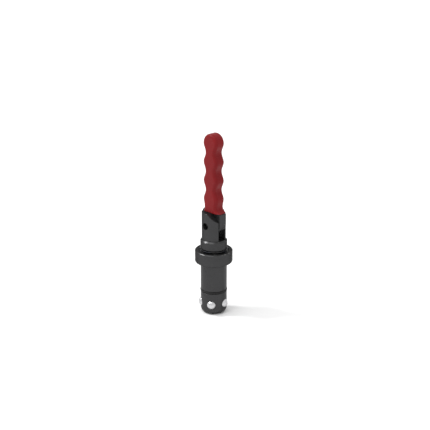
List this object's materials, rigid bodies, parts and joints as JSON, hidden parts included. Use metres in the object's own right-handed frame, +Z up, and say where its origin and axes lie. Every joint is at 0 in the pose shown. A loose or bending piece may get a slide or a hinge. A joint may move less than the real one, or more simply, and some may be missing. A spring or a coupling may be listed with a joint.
{
  "type": "lever-operated ball-lock clamping pin",
  "caption": "Upright clamping pin for fixture tables: a lever in a forked head drives a sprung spindle that lets locking balls into the shank under a sprung flange.",
  "frame": {"origin": "centre of the shank's tip, on the shank's axis, where the pin stands", "axes": "+Z up along the shank to the lever's end; +X is the side that the lever swings down to; Y is along the pivot pin"},
  "size_m": [0.04, 0.04, 0.1972],
  "materials": {
    "black_steel": "satin black oxide over fine turned and milled steel",
    "polished_steel": "polished hardened steel",
    "spring_steel": "drawn and tempered spring steel",
    "ground_steel": "ground steel",
    "red_plastic": "satin moulded plastic, red",
    "black_rubber": "smooth moulded nitrile rubber"
  },
  "bodies": {
    "shank": {"shank_body": "black_steel", "end_plug": "black_steel", "shank_o_ring": "black_rubber", "disc_spring_1": "spring_steel", "disc_spring_2": "spring_steel", "disc_spring_3": "spring_steel", "disc_spring_4": "spring_steel", "disc_spring_5": "spring_steel", "disc_spring_6": "spring_steel", "lock_collar": "black_steel", "clevis_head": "black_steel", "pivot_pin": "black_steel", "return_spring": "spring_steel"},
    "lever": {"cam_lever": "black_steel", "lever_grip": "red_plastic"},
    "spindle": {"release_spindle": "ground_steel", "spring_washer": "ground_steel", "spindle_circlip": "spring_steel"},
    "ball_1": {"ball_1": "polished_steel"},
    "ball_2": {"ball_2": "polished_steel"},
    "ball_3": {"ball_3": "polished_steel"},
    "ball_4": {"ball_4": "polished_steel"},
    "ball_5": {"ball_5": "polished_steel"},
    "flange": {"clamp_flange": "black_steel"}
  },
  "joints": [
    {"name": "lever_swing", "type": "hinge", "parent": "shank", "child": "lever", "pos_m": [0, 0, 0.0991], "axis": [0, 1, 0], "range_deg": [0, 90], "stiffness_Nm_per_rad": 0.03, "springref_deg": -108.86},
    {"name": "spindle_press", "type": "slide", "parent": "shank", "child": "spindle", "axis": [0, 0, -1], "range_m": [0, 0.00505], "deforming": ["return_spring"]},
    {"name": "ball_1_slide", "type": "slide", "parent": "shank", "child": "ball_1", "axis": [-0.0523, -0.9986, 0], "range_m": [0, 0.00245]},
    {"name": "ball_2_slide", "type": "slide", "parent": "shank", "child": "ball_2", "axis": [-0.9659, -0.2588, 0], "range_m": [0, 0.00245]},
    {"name": "ball_3_slide", "type": "slide", "parent": "shank", "child": "ball_3", "axis": [-0.5446, 0.8387, 0], "range_m": [0, 0.00245]},
    {"name": "ball_4_slide", "type": "slide", "parent": "shank", "child": "ball_4", "axis": [0.6293, 0.7771, 0], "range_m": [0, 0.00245]},
    {"name": "ball_5_slide", "type": "slide", "parent": "shank", "child": "ball_5", "axis": [0.9336, -0.3584, 0], "range_m": [0, 0.00245]},
    {"name": "flange_lift", "type": "slide", "parent": "shank", "child": "flange", "axis": [0, 0, 1], "range_m": [0, 0.0012], "stiffness_N_per_m": 2000, "springref_m": -0.001, "deforming": ["disc_spring_1", "disc_spring_2", "disc_spring_3", "disc_spring_4", "disc_spring_5", "disc_spring_6"]}
  ],
  "couplings": [
    {"joint": "spindle_press", "follows": "lever_swing", "m_per_rad": 0.0031831},
    {"joint": "ball_1_slide", "follows": "lever_swing", "m_per_rad": 0.0015279},
    {"joint": "ball_2_slide", "follows": "lever_swing", "m_per_rad": 0.0015279},
    {"joint": "ball_3_slide", "follows": "lever_swing", "m_per_rad": 0.0015279},
    {"joint": "ball_4_slide", "follows": "lever_swing", "m_per_rad": 0.0015279},
    {"joint": "ball_5_slide", "follows": "lever_swing", "m_per_rad": 0.0015279}
  ]
}
